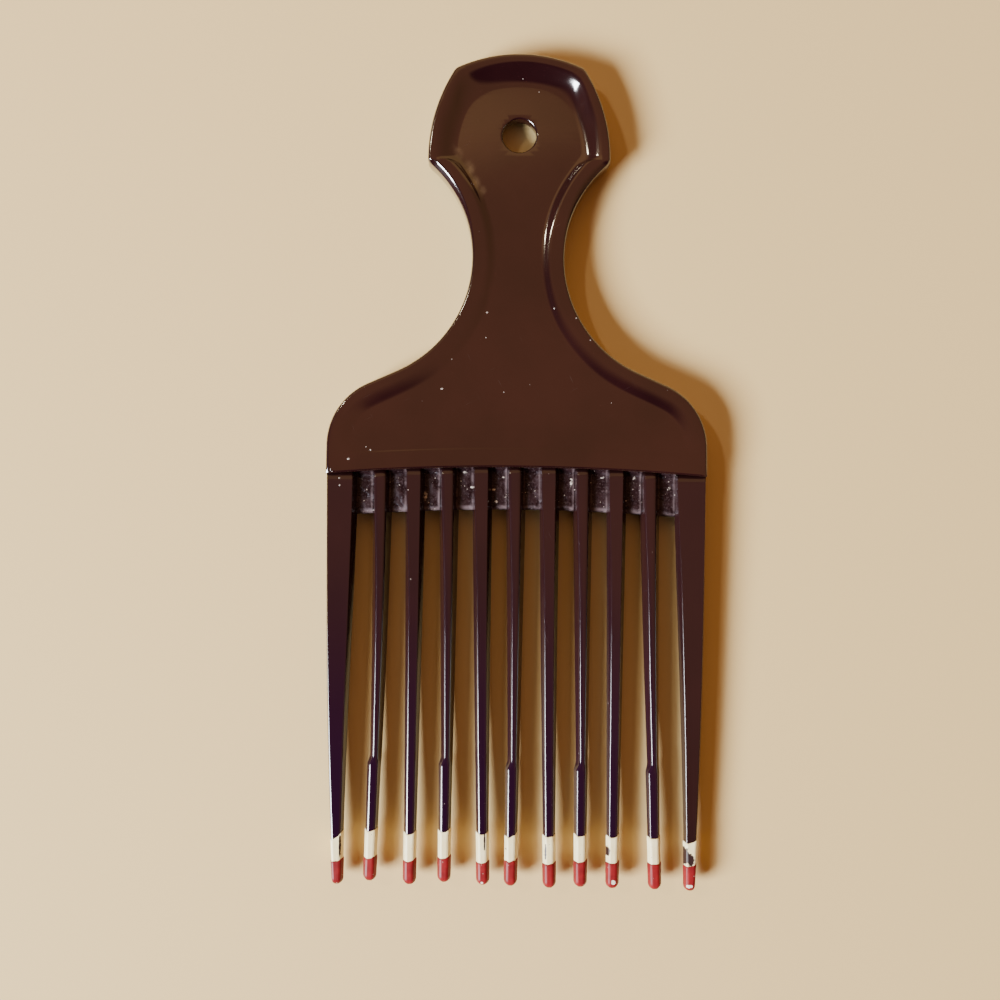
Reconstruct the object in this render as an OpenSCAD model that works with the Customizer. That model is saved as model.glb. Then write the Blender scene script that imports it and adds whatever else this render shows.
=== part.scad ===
// Wide-toothed hair pick: one glossy plastic moulding with hand-painted tooth tips.
// It lies on its back: front face +Z, handle towards +Y, teeth towards -Y.
// Lengths are millimetres. Heights on the plan are counted from the crown of the plate edge,
// the curved line where the solid handle ends and the teeth begin.

/* [Handle] */
// Thickness over the front and back rims
handle_t = 6.5; // [5.6:0.1:8]
// Width of the plate over its straight sides
plate_w = 75; // [71:0.5:80]
// Rise of the plate edge in the middle above its ends
edge_rise = 1.55; // [0.8:0.05:3]
// Height of the straight sides above the plate edge
side_len = 4; // [3.6:0.1:6]
// Radius of the shoulders
shoulder_r = 13.6; // [11.5:0.1:14.5]
// Slope of the shoulders in degrees
shoulder_slope = 23.9; // [20:0.1:26]
// Width of the neck at its narrowest
neck_w = 18.4; // [16.5:0.1:20]
// Radius of the hollow sides of the neck
neck_r = 24.4; // [23:0.1:26]

/* [Head] */
// Height of the head's top above the neck's narrowest place
head_len = 40.3; // [38:0.1:44]
// Width of the head
head_w = 36.2; // [34:0.1:38]
// Radius of the head's bowed sides
head_side_r = 33; // [30:0.5:36]
// Drop of the head's widest place below its top
head_belly = 20.9; // [18.5:0.1:21.5]
// Radius of the top arch
head_top_r = 29.5; // [27:0.5:32]
// Radius of the head's upper corners
head_corner_r = 2.2; // [1.6:0.1:3]
// Radius of the head's lower corners
head_heel_r = 1.4; // [1:0.1:1.8]
// Drop of the hanging hole's centre below the top of the head
hole_drop = 15.9; // [14:0.1:17]
// Diameter of the hanging hole
hole_d = 6.7; // [5.6:0.1:7.6]
// Width of the chamfer round each mouth of the hole
hole_lip = 0.5; // [0.3:0.05:0.7]

/* [Dish] */
// Depth of the dish in each face
dish_depth = 2; // [1.4:0.1:2.3]
// Width of the rim at the top of the head
rim_top = 1.45; // [1.3:0.05:2]
// Width of the rim along the head's sides
rim_head = 2.3; // [1.8:0.1:3]
// Width of the rim along the neck
rim_neck = 3.5; // [2.8:0.1:3.8]
// Width of the rim along the shoulders
rim_side = 2.7; // [2.2:0.1:3.2]
// Width of the cove at the top of the head
cove_top = 4.1; // [3:0.1:4.6]
// Width of the cove everywhere else
cove_w = 2.15; // [1.8:0.05:2.4]
// Distance from the plate edge to the line where the dish runs out
dish_foot = 3; // [2.4:0.1:3.6]
// Length over which the dish runs down to its full depth
dish_run = 42; // [34:1:46]

/* [Edges] */
// Radius of the outer edges of the handle
edge_r = 1; // [0.7:0.05:1.2]
// Radius of the front and back corners of the plate edge
plate_edge_r = 0.35; // [0.2:0.05:0.4]
// Radius of the raised plate's corners at the plate edge
plate_corner_r = 1; // [0.7:0.1:1.4]
// Lean of the handle's side walls, from the mould's parting line to each face
wall_draft = 0.15; // [0.05:0.05:0.25]

/* [Teeth] */
// Length of the longest tooth, from the plate edge's crown to its plastic tip
tooth_len = 82.9; // [78:0.1:90]
// Gap at the plate edge between a guard tooth and its neighbour
guard_gap = 2.6; // [2.3:0.05:3]
// Width of a tooth at the plate edge
tooth_w = 4.1; // [3.7:0.05:4.3]
// Width of a tooth just above its rounded tip
tip_w = 2.25; // [2.1:0.05:2.7]
// Thickness of a tooth at the plate edge
tooth_t = 5.7; // [5:0.1:5.8]
// Thickness of a tooth just above its rounded tip
tip_t = 2.7; // [2.4:0.1:3]
// Radius of the rounded tips
tip_r = 1.25; // [1.05:0.05:1.4]
// Width of a guard tooth at the plate edge
guard_w = 6.35; // [5.8:0.05:6.8]
// Width of a guard tooth just above its rounded tip
guard_tip_w = 1.9; // [1.8:0.1:2.6]
// Inward lean of a guard tooth's outer side over its length
guard_lean = 2.3; // [1.6:0.1:2.8]

/* [Root web] */
// Height of the web that ties the teeth together
web_h = 8.3; // [7:0.1:9.5]
// Thickness of the web
web_t = 2; // [1.6:0.1:2.6]
// Radius of the hollow where the web meets the plate
web_fillet_r = 1.1; // [0.7:0.1:1.4]

/* [Paint] */
// Length of the paint, from the top of the pale band to the tip
paint_len = 10.7; // [9:0.1:12]
// Length of the red dip
red_len = 5.3; // [4.4:0.1:6]
// Thickness of the pale base coat
base_coat_t = 0.11; // [0.08:0.01:0.16]
// Thickness of the red coat over it
red_coat_t = 0.11; // [0.08:0.01:0.16]

/* [Hidden] */
plastic_color = "#4a2a1e";
base_coat_color = "#e6dccb";
red_coat_color = "#b3364a";

tooth_count = 11;
mid_tooth = (tooth_count + 1) / 2;
half_w = plate_w / 2;
mid_z = handle_t / 2;
tooth_pitch = (half_w - guard_w - guard_gap - tooth_w / 2) / (mid_tooth - 2);
overrun = 1;
// Distance down the teeth that clears the web
root_reach = web_h + edge_rise + web_t;

// Circles of the outline. The shoulder line runs tangent from the shoulder to the neck,
// which sets the height of the neck's centre.
tangent_deg = 90 - shoulder_slope;
tangent_dir = [cos(tangent_deg), sin(tangent_deg)];
shoulder_c = [half_w - shoulder_r, side_len];
neck_x = neck_w / 2 + neck_r;
shoulder_run = shoulder_c.x + (shoulder_r + neck_r) * tangent_dir.x - neck_x;
neck_y = shoulder_c.y + (shoulder_r + neck_r) * tangent_dir.y + shoulder_run * tan(shoulder_slope);
neck_c = [neck_x, neck_y];
handle_len = neck_y + head_len;
head_c = [head_w / 2 - head_side_r, handle_len - head_belly];
top_c = [0, handle_len - head_top_r];
edge_arc_r = (half_w * half_w + edge_rise * edge_rise) / (2 * edge_rise);
edge_c = [0, -edge_arc_r];

// Number of straight steps along each stretch of the outline, bottom to top
edge_steps = 5;
foot_steps = 3;
shoulder_steps = 7;
neck_steps = 14;
heel_steps = 3;
head_steps = 5;
corner_steps = 4;
top_steps = 5;

// Corner radii of the dish: its lip, then its floor
lip_corner_r = head_corner_r + 1.1 * edge_r;
floor_corner_r = head_corner_r + 0.4 * edge_r;
lip_heel_r = 0.8 * head_heel_r;
floor_heel_r = 0.7 * head_heel_r;
sharp_corner_r = plate_edge_r / 6;
cove_steps = 4;
rounding_steps = 3;
fillet_steps = 6;

// Sideways bend of each tooth at its tip, as shares of the tooth spacing, left to right
lean_shares = [-0.04, -0.26, -0.07, -0.04, 0.12, -0.06, 0.1, 0.02, -0.03, 0.24, 0.09];
lean_power = 1.6;
// How late along a guard tooth its lean and its taper set in
guard_lean_power = 2.4;
guard_taper_power = 1.4;
// How much shorter than the longest each tooth is, as shares of the tooth spacing
trim_shares = [0.09, 0.2, 0.1, 0.18, 0.11, 0.09, 0.04, 0.08, 0.05, 0.03, 0];

// Tooth section. The wide face is the front on odd teeth and the back on even ones, and the widest
// line lies nearer that face. Shares are of the half width, the half thickness and the width.
wide_face_shares = [0.53, 0.5];
narrow_face_shares = [0.33, 0.4];
part_line_shares = [0.21, 0.2];
guard_flank_shares = [0.15, 0.24];
section_chamfer_share = 0.11;

// Even teeth have one thinner flank down to a small step, where the mould's two halves change over
notch_share = 0.11;
notch_from_tip = tooth_len * 0.275;
notch_run = tip_w * 0.3;
tip_angles = [0, 30, 55, 78];

function two_digits(i) = str(i < 10 ? "0" : "", i);
function names(stem) = [for (i = [1 : tooth_count]) str(stem, two_digits(i))];

// Plan geometry
function mix(a, b, t) = a + (b - a) * t;
function turn(a) = [cos(a), sin(a)];
function angle_of(v) = atan2(v.y, v.x);
function arc(c, r, a0, a1, steps) = [for (i = [0 : steps]) c + r * turn(mix(a0, a1, i / steps))];
function after(list) = [for (i = [1 : len(list) - 1]) list[i]];

// Point at distance r1 from c1 and r2 from c2, on the right of the line from c1 to c2
function meet(c1, r1, c2, r2) =
    let (d = norm(c2 - c1), u = (c2 - c1) / d, a = (d * d + r1 * r1 - r2 * r2) / (2 * d))
    c1 + a * u + sqrt(r1 * r1 - a * a) * [u.y, -u.x];

// Right half of an outline inset from the silhouette, from bottom centre to top centre.
// inset = [edge, side, neck, head, top] and corner = [foot, heel, upper] radii.
function half_outline(inset, corner) =
    let (
        side_x = half_w - inset[1],
        foot_y = edge_c.y + sqrt(pow(edge_arc_r + inset[0] + corner[0], 2) - pow(side_x - corner[0], 2)),
        foot_c = [side_x - corner[0], foot_y],
        head_r = head_side_r - inset[3],
        waist_r = neck_r + inset[2],
        arch_r = head_top_r - inset[4],
        heel_c = meet(neck_c, waist_r + corner[1], head_c, head_r - corner[1]),
        upper_c = meet(top_c, arch_r - corner[2], head_c, head_r - corner[2])
    )
    concat(
        arc(edge_c, edge_arc_r + inset[0], 90, angle_of(foot_c - edge_c), edge_steps),
        after(arc(foot_c, corner[0], angle_of(edge_c - foot_c), 0, foot_steps)),
        arc(shoulder_c, shoulder_r - inset[1], 0, tangent_deg, shoulder_steps),
        arc(neck_c, waist_r, 180 + tangent_deg, angle_of(heel_c - neck_c), neck_steps),
        after(arc(heel_c, corner[1], angle_of(neck_c - heel_c), angle_of(heel_c - head_c), heel_steps)),
        after(arc(head_c, head_r, angle_of(heel_c - head_c), angle_of(upper_c - head_c), head_steps)),
        after(arc(upper_c, corner[2], angle_of(upper_c - head_c), angle_of(upper_c - top_c), corner_steps)),
        after(arc(top_c, arch_r, angle_of(upper_c - top_c), 90, top_steps))
    );

// How much of the big edge radius each point of the half outline takes: none along the plate edge
half_count = len(half_outline([0, 0, 0, 0, 0], [sharp_corner_r, head_heel_r, head_corner_r]));
function side_share(i) = min(1, max(0, (i - edge_steps) / foot_steps));

// Dish: depth below the rim at a height on the plan, easing into its full depth
ease_share = 0.25;
function ease(s) = s <= 0 ? 0 : s < 1 - ease_share ? s : s > 1 + ease_share ? 1
    : 1 - pow(1 + ease_share - s, 2) / (4 * ease_share);
function dish_at(y) = dish_depth * ease((y - dish_foot) / dish_run);

rim_inset = [dish_foot - plate_edge_r, rim_side, rim_neck, rim_head, rim_top];
floor_inset = [dish_foot, rim_side + cove_w, rim_neck + cove_w, rim_head + cove_w, rim_top + cove_top];
rim_corner = [plate_corner_r, lip_heel_r, lip_corner_r];
floor_corner = [plate_corner_r, floor_heel_r, floor_corner_r];

// Ring of the handle's rounded edge: t = 0 where the wall ends, 1 on the rim
function edge_ring(t) =
    let (
        a = 90 * t,
        across = 1 - cos(a),
        corner = [mix(sharp_corner_r, plate_corner_r, sin(a)), head_heel_r, head_corner_r],
        wall = wall_draft + edge_r * across,
        flat = half_outline([plate_edge_r * across, wall, wall, wall, wall],
            [corner[0], corner[1] - wall / 2, corner[2] - wall / 2])
    )
    [for (i = [0 : half_count - 1])
        [flat[i].x, flat[i].y, handle_t - mix(plate_edge_r, edge_r, side_share(i)) * (1 - sin(a))]];

// Ring of the cove: t = 0 on the lip, 1 where it reaches the floor
function cove_ring(t) =
    let (flat = half_outline(mix(rim_inset, floor_inset, t), mix(rim_corner, floor_corner, t)))
    [for (p = flat) [p.x, p.y, handle_t - dish_at(p.y) * (1 - cos(180 * t)) / 2]];

function whole(half) = concat(half, [for (i = [half_count - 2 : -1 : 1]) [-half[i].x, half[i].y, half[i].z]]);
function flipped(ring) = [for (p = ring) [p.x, p.y, handle_t - p.z]];

// Faces of a loft through rings of n points each, without its ends
function loft_sides(rings, n) = [
    for (k = [0 : rings - 2], i = [0 : n - 1], half = [0, 1])
        let (j = (i + 1) % n, a = k * n)
        half == 0 ? [a + i, a + n + i, a + n + j] : [a + i, a + n + j, a + j]
];

// Floor of the dish: a fan at the foot, then level strips up to the top centre
function floor_faces(first, centre, n) =
    let (
        foot = edge_steps + foot_steps + 1,
        top = half_count - 1,
        right = function(i) first + i,
        left = function(i) first + (n - i) % n
    )
    concat(
        [for (i = [0 : foot - 1]) [centre, right(i), right(i + 1)]],
        [for (i = [0 : foot - 1]) [centre, left(i + 1), left(i)]],
        [[centre, right(foot), right(foot + 1)], [centre, right(foot + 1), left(foot + 1)],
            [centre, left(foot + 1), left(foot)]],
        [for (i = [foot + 1 : top - 2]) [left(i), right(i), right(i + 1)]],
        [for (i = [foot + 1 : top - 2]) [left(i), right(i + 1), left(i + 1)]],
        [[left(top - 1), right(top - 1), right(top)]]
    );
function backwards(faces) = [for (f = faces) [f[2], f[1], f[0]]];

module handle_blank() {
    front = concat(
        [for (k = [0 : rounding_steps]) whole(edge_ring(k / rounding_steps))],
        [for (k = [0 : cove_steps]) whole(cove_ring(k / cove_steps))]
    );
    widest = whole([for (p = half_outline([0, 0, 0, 0, 0], [sharp_corner_r, head_heel_r, head_corner_r]))
        [p.x, p.y, mid_z]]);
    rings = concat([for (k = [len(front) - 1 : -1 : 0]) flipped(front[k])], [widest], front);
    n = len(widest);
    last = (len(rings) - 1) * n;
    centre_y = shoulder_c.y;
    points = concat([for (r = rings, p = r) p],
        [[0, centre_y, dish_at(centre_y)], [0, centre_y, handle_t - dish_at(centre_y)]]);
    polyhedron(points, concat(
        loft_sides(len(rings), n),
        floor_faces(0, len(rings) * n, n),
        backwards(floor_faces(last, len(rings) * n + 1, n))
    ), convexity = 6);
}

module handle() {
    hole_y = handle_len - hole_drop;
    floor_z = handle_t - dish_at(hole_y);
    color(plastic_color) centred() difference() {
        handle_blank();
        translate([0, hole_y, -overrun]) cylinder(d = hole_d, h = handle_t + 2 * overrun, $fn = 64);
        for (side = [0, 1])
            translate([0, hole_y, mid_z]) mirror([0, 0, side]) translate([0, 0, floor_z - mid_z - hole_lip])
                cylinder(d1 = hole_d, d2 = hole_d + 2 * (hole_lip + overrun), h = hole_lip + overrun, $fn = 64);
    }
}

// Teeth
function is_guard(i) = i == 1 || i == tooth_count;
function side_of(i) = i < mid_tooth ? -1 : 1;
function len_of(i) = tooth_len - tooth_pitch * trim_shares[i - 1];
function root_x(i) = (extent(i, 0)[0] + extent(i, 0)[1]) / 2;
function edge_y(x) = edge_c.y + sqrt(edge_arc_r * edge_arc_r - x * x);
function at(shares, s) = mix(shares[0], shares[1], s);

// Left and right extent of tooth i at share s of its length, before the step in an even tooth's flank
function bend(i, s) = lean_shares[i - 1] * tooth_pitch * pow(max(0, s), lean_power);
function guard_extent(s) =
    let (outer = half_w - guard_lean * pow(max(0, s), guard_lean_power))
    [outer - mix(guard_w, guard_tip_w, pow(max(0, s), guard_taper_power)), outer];
function extent(i, s) =
    is_guard(i)
        ? let (e = guard_extent(s)) (side_of(i) < 0 ? [-e[1], -e[0]] : e) + [1, 1] * bend(i, s)
        : let (x = (i - mid_tooth) * tooth_pitch + bend(i, s), h = mix(tooth_w, tip_w, s) / 2) [x - h, x + h];

// Section of tooth i at distance v down from the plate edge, grown by a coat and shrunk by round
function section(i, v, coat = 0, round = 1) =
    let (
        s = v / len_of(i),
        plain = is_guard(i) || i % 2 == 1,
        step_v = len_of(i) - notch_from_tip,
        even = plain ? 0 : min(1, max(0, (step_v - v) / notch_run)),
        notch = even * notch_share * tooth_w * v / step_v,
        e = extent(i, s),
        l = e[0] + notch - coat,
        r = e[1] + coat,
        h = mix(tooth_w, tip_w, s) / 2 + coat,
        half_t = mix(tooth_t, tip_t, s) / 2 + coat,
        part_z = mix(1, -1, even) * at(part_line_shares, s) * half_t,
        front_flank = h * (1 - mix(at(wide_face_shares, s), at(narrow_face_shares, s), even)),
        back_flank = h * (1 - mix(at(narrow_face_shares, s), at(wide_face_shares, s), even)),
        guard = at(guard_flank_shares, s) * (r - l),
        c = section_chamfer_share * h,
        lf = is_guard(i) && side_of(i) < 0 ? guard : front_flank,
        rf = is_guard(i) && side_of(i) > 0 ? guard : front_flank,
        lb = is_guard(i) && side_of(i) < 0 ? guard : back_flank,
        rb = is_guard(i) && side_of(i) > 0 ? guard : back_flank,
        x0 = (e[0] + e[1]) / 2,
        flat = [
            [l + lf + c, half_t], [l + lf - c / 3, half_t - c],
            [l, part_z],
            [l + lb - c / 3, c - half_t], [l + lb + c, -half_t],
            [r - rb - c, -half_t], [r - rb + c / 3, c - half_t],
            [r, part_z],
            [r - rf + c / 3, half_t - c], [r - rf - c, half_t]
        ]
    )
    [for (p = flat) [x0 + (p.x - x0) * round, p.y * round]];

// Ring at distance v down the tooth, and the root's ring, which follows the curve of the plate edge
function ring(i, v, coat = 0) = [for (p = section(i, v, coat)) [p.x, -v, mid_z + p.y]];
function root_ring(i) = [for (p = section(i, -edge_y(root_x(i)))) [p.x, edge_y(p.x), mid_z + p.y]];

function tip_ring(i, a, coat = 0) =
    let (v = len_of(i) - tip_r)
    [for (p = section(i, v, coat, cos(a))) [p.x, -v - (tip_r + coat) * sin(a), mid_z + p.y]];
function tip(i, coat = 0) = [for (a = tip_angles) tip_ring(i, a, coat)];

function reversed(list) = [for (k = [len(list) - 1 : -1 : 0]) list[k]];

// Solid through a list of rings, closed at both ends
module loft(rings) {
    n = len(rings[0]);
    last = (len(rings) - 1) * n;
    polyhedron([for (r = rings, p = r) p], concat(
        loft_sides(len(rings), n),
        [[for (i = [0 : n - 1]) i], [for (i = [n - 1 : -1 : 0]) last + i]]
    ), convexity = 4);
}

module tooth_solid(i) {
    l = len_of(i);
    step_v = l - notch_from_tip;
    stations = [root_reach, l * 0.3, l * 0.5, step_v - notch_run, step_v, l - paint_len, l - red_len];
    loft(concat([root_ring(i)], [for (v = stations) ring(i, v)], tip(i)));
}

module tooth(i) {
    color(plastic_color) centred() tooth_solid(i);
}

// Coats of paint, each a thin cup over the tip. The red one lies over the pale one.
module coat(i, reach, under, over) {
    v = len_of(i) - reach;
    inner = concat([ring(i, v, under), ring(i, len_of(i) - red_len, under)], tip(i, under));
    outer = concat([ring(i, v, over), ring(i, len_of(i) - red_len, over)], tip(i, over));
    loft(concat(reversed(inner), outer));
}

module base_coat(i) {
    color(base_coat_color) centred() coat(i, paint_len, 0, base_coat_t);
}

module red_coat(i) {
    v = len_of(i) - red_len;
    both = base_coat_t + red_coat_t;
    inner = concat([ring(i, v, base_coat_t)], tip(i, base_coat_t));
    color(red_coat_color) centred() loft(concat(reversed(inner), [ring(i, v, both)], tip(i, both)));
}

// Web between the teeth: a thin bridge along the plate edge, with a rounded lower edge.
// The profile's x runs up towards the plate and its y through the thickness.
web_nose_r = web_t / 2;
web_half = concat(
    arc([-web_fillet_r, web_nose_r + web_fillet_r], web_fillet_r, 0, -90, fillet_steps),
    arc([web_nose_r - web_h, 0], web_nose_r, 90, 180, fillet_steps)
);
web_profile = concat(web_half, [for (k = [len(web_half) - 2 : -1 : 0]) [web_half[k].x, -web_half[k].y]]);

module root_web() {
    color(plastic_color) centred()
        for (i = [1 : tooth_count - 1]) {
            x = (extent(i, 0)[1] + extent(i + 1, 0)[0]) / 2;
            difference() {
                translate([x, edge_y(x), mid_z]) rotate([0, 0, -asin(x / edge_arc_r)]) rotate([90, 0, 90])
                    linear_extrude(height = tooth_pitch, center = true) polygon(web_profile);
                for (k = [i, i + 1]) loft([ring(k, -overrun), ring(k, root_reach)]);
            }
        }
}

// Puts the middle of the overall length at the origin
module centred() {
    reach = tooth_len + base_coat_t + red_coat_t;
    translate([0, (reach - handle_len) / 2, 0]) children();
}

handle();
root_web();
for (i = [1 : tooth_count]) {
    tooth(i);
    base_coat(i);
    red_coat(i);
}
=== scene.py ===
from math import atan2, cos, degrees, pi, radians, sin, sqrt, tan

import bmesh
import bpy
from mathutils import Matrix, Vector, noise


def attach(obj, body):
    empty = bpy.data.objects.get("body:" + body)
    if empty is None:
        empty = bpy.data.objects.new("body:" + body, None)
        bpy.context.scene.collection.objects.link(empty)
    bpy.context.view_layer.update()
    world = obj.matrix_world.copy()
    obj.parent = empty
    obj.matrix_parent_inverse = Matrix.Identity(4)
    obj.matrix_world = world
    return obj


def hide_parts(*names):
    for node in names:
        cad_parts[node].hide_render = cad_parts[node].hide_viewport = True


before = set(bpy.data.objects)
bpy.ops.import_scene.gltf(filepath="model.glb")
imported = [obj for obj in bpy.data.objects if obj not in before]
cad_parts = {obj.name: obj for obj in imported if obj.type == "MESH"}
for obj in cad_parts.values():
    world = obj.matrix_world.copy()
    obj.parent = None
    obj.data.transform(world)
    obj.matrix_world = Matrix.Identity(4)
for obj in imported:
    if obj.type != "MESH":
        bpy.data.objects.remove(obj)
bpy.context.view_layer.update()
print("frame loaded:", len(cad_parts), "nodes")

mm = 0.001

# plan of the moulding, in millimetres, with the middle of the plate's lower edge at y 0
plan = {
    "thickness": 6.5, "plateWidth": 75.0, "edgeRise": 1.55, "sideLength": 4.0,
    "shoulderRadius": 13.6, "shoulderSlope": 23.9, "neckWidth": 18.4, "neckRadius": 24.4,
    "headLength": 40.3, "headWidth": 36.2, "headSideRadius": 33.0, "headBelly": 20.9,
    "headTopRadius": 29.5, "headCorner": 2.2, "headHeel": 1.4,
    "toothLength": 82.9, "coats": 0.22,
}


def mix(a, b, t):
    return a + (b - a) * t


def softStep(value, low, high):
    # 0 below low, 1 above high, smooth between
    t = min(1, max(0, (value - low) / (high - low)))
    return t * t * (3 - 2 * t)


def turn(angle):
    return Vector((cos(radians(angle)), sin(radians(angle))))


def angleOf(v):
    return degrees(atan2(v.y, v.x))


def meet(c1, r1, c2, r2):
    # the right hand crossing of two circles
    gap = c2 - c1
    far = gap.length
    way = gap / far
    along = (far * far + r1 * r1 - r2 * r2) / (2 * far)
    return c1 + along * way + sqrt(max(0, r1 * r1 - along * along)) * Vector((way.y, -way.x))


halfWidth = plan["plateWidth"] / 2
midZ = plan["thickness"] / 2
tangent = 90 - plan["shoulderSlope"]
shoulderCentre = Vector((halfWidth - plan["shoulderRadius"], plan["sideLength"]))
neckX = plan["neckWidth"] / 2 + plan["neckRadius"]
reach = plan["shoulderRadius"] + plan["neckRadius"]
shoulderRun = shoulderCentre.x + reach * cos(radians(tangent)) - neckX
neckY = shoulderCentre.y + reach * sin(radians(tangent)) + shoulderRun * tan(radians(plan["shoulderSlope"]))
neckCentre = Vector((neckX, neckY))
handleLength = neckY + plan["headLength"]
headCentre = Vector((plan["headWidth"] / 2 - plan["headSideRadius"], handleLength - plan["headBelly"]))
topCentre = Vector((0, handleLength - plan["headTopRadius"]))
edgeRadius = (halfWidth ** 2 + plan["edgeRise"] ** 2) / (2 * plan["edgeRise"])
edgeCentre = Vector((0, -edgeRadius))
shiftY = (plan["toothLength"] + plan["coats"] - handleLength) / 2


def edgeY(x):
    # how far up the plate's lower edge stands at x
    return edgeCentre.y + sqrt(edgeRadius ** 2 - x * x)


def arc(centre, radius, start, end, steps):
    return [centre + radius * turn(mix(start, end, i / steps)) for i in range(steps + 1)]


def outline(edge, side, neck, head, top, foot, heel, corner):
    # the handle's outline, moved in by so much at its edge, sides, neck, head and top, with these radii at
    # the plate's feet, the heels and the head's upper corners
    sideX = halfWidth - side
    footY = edgeCentre.y + sqrt((edgeRadius + edge + foot) ** 2 - (sideX - foot) ** 2)
    footCentre = Vector((sideX - foot, footY))
    headR = plan["headSideRadius"] - head
    waistR = plan["neckRadius"] + neck
    archR = plan["headTopRadius"] - top
    heelCentre = meet(neckCentre, waistR + heel, headCentre, headR - heel)
    cornerCentre = meet(topCentre, archR - corner, headCentre, headR - corner)
    heelEnd, cornerStart = angleOf(heelCentre - headCentre), angleOf(cornerCentre - headCentre)
    cornerEnd = angleOf(cornerCentre - topCentre)
    half = []
    # each stretch: centre, radius, first and last direction, steps, and 1 to leave out its first point
    for centre, radius, first, last, steps, joined in (
            (edgeCentre, edgeRadius + edge, 90, angleOf(footCentre - edgeCentre), 24, 0),
            (footCentre, foot, angleOf(edgeCentre - footCentre), 0, 6, 1),
            (shoulderCentre, plan["shoulderRadius"] - side, 0, tangent, 22, 0),
            (neckCentre, waistR, 180 + tangent, angleOf(heelCentre - neckCentre) % 360, 48, 0),
            (heelCentre, heel, angleOf(neckCentre - heelCentre), heelEnd, 8, 1),
            (headCentre, headR, heelEnd, cornerStart, 18, 1),
            (cornerCentre, corner, cornerStart, cornerEnd, 8, 1),
            (topCentre, archR, cornerEnd, 90, 14, 1)):
        half += arc(centre, radius, first, last, steps)[joined:]
    return half + [Vector((-p.x, p.y)) for p in half[-2:0:-1]]


# mesh helpers
def skin(bm, rings):
    # grows a closed loop of edges out from ring to ring and gives back the first and the last loop
    verts = [bm.verts.new(p) for p in rings[0]]
    edges = first = [bm.edges.new(pair) for pair in zip(verts, verts[1:] + verts[:1])]
    for ring in rings[1:]:
        grown = bmesh.ops.extrude_edge_only(bm, edges=edges)["geom"]
        order = {tuple(v.co): k for k, v in enumerate(verts)}
        fresh = {v: order[tuple(v.co)] for v in grown if isinstance(v, bmesh.types.BMVert)}
        edges = [e for e in grown if isinstance(e, bmesh.types.BMEdge) and all(v in fresh for v in e.verts)]
        verts = sorted(fresh, key=fresh.get)
        for v, p in zip(verts, ring):
            v.co = p
    return first, edges


def toPiece(bm, name, material, node, weighted=True):
    # millimetres in the plan's own place become metres in the shared frame
    bmesh.ops.translate(bm, verts=bm.verts, vec=(0, shiftY, 0))
    bmesh.ops.scale(bm, verts=bm.verts, vec=(mm, mm, mm))
    bmesh.ops.recalc_face_normals(bm, faces=bm.faces)
    mesh = bpy.data.meshes.new(name)
    bm.to_mesh(mesh)
    bm.free()
    mesh.materials.append(material)
    mesh.shade_smooth()
    piece = bpy.data.objects.new(name, mesh)
    bpy.context.scene.collection.objects.link(piece)
    if weighted:
        finish = piece.modifiers.new("evenShading", "WEIGHTED_NORMAL")
        finish.mode = "FACE_AREA"
        finish.weight = 60
    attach(piece, "root")
    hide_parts(node)
    print("made", name, len(mesh.polygons), "faces")


# shader helpers
def add(tree, kind, wires=None, **values):
    # one node, its inputs set by name or index, and its wires joined
    made = tree.nodes.new("ShaderNode" + kind)
    for key, value in values.items():
        if hasattr(made, key):
            setattr(made, key, value)
        else:
            made.inputs[key.replace("_", " ")].default_value = value
    for key, source in (wires or {}).items():
        tree.links.new(source, made.inputs[key])
    return made


def calc(tree, operation, a, b=None, clamp=False):
    made = tree.nodes.new("ShaderNodeMath")
    made.operation = operation
    made.use_clamp = clamp
    for slot, value in enumerate((a, b)):
        if value is None:
            continue
        if isinstance(value, (int, float)):
            made.inputs[slot].default_value = value
        else:
            tree.links.new(value, made.inputs[slot])
    return made.outputs[0]


def times(tree, a, b):
    return calc(tree, "MULTIPLY", a, b)


def plus(tree, a, b, clamp=False):
    return calc(tree, "ADD", a, b, clamp)


def minus(tree, a, b):
    return calc(tree, "SUBTRACT", a, b)


def most(tree, a, b):
    return calc(tree, "MAXIMUM", a, b)


def blend(tree, share, a, b):
    # mixes two colours, each a colour or another node's output
    made = tree.nodes.new("ShaderNodeMix")
    made.data_type = "RGBA"
    for slot, value in ((0, share), (6, a), (7, b)):
        if isinstance(value, (tuple, float, int)):
            made.inputs[slot].default_value = (*value, 1) if isinstance(value, tuple) else value
        else:
            tree.links.new(value, made.inputs[slot])
    return made.outputs[2]


def ramp(tree, source, low, high):
    # 0 at low, 1 at high, smooth between, and turned round where low is the greater
    made = tree.nodes.new("ShaderNodeMapRange")
    made.interpolation_type = "SMOOTHSTEP"
    made.inputs["From Min"].default_value = low
    made.inputs["From Max"].default_value = high
    tree.links.new(source, made.inputs["Value"])
    return made.outputs[0]


def grain(tree, where, scale, detail, **values):
    # the grey output of a noise
    return add(tree, "TexNoise", {"Vector": where}, Scale=scale, Detail=detail, **values).outputs["Fac"]


def bumpFrom(tree, height, strength, distance):
    return add(tree, "Bump", {"Height": height}, Strength=strength, Distance=distance).outputs[0]


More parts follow.
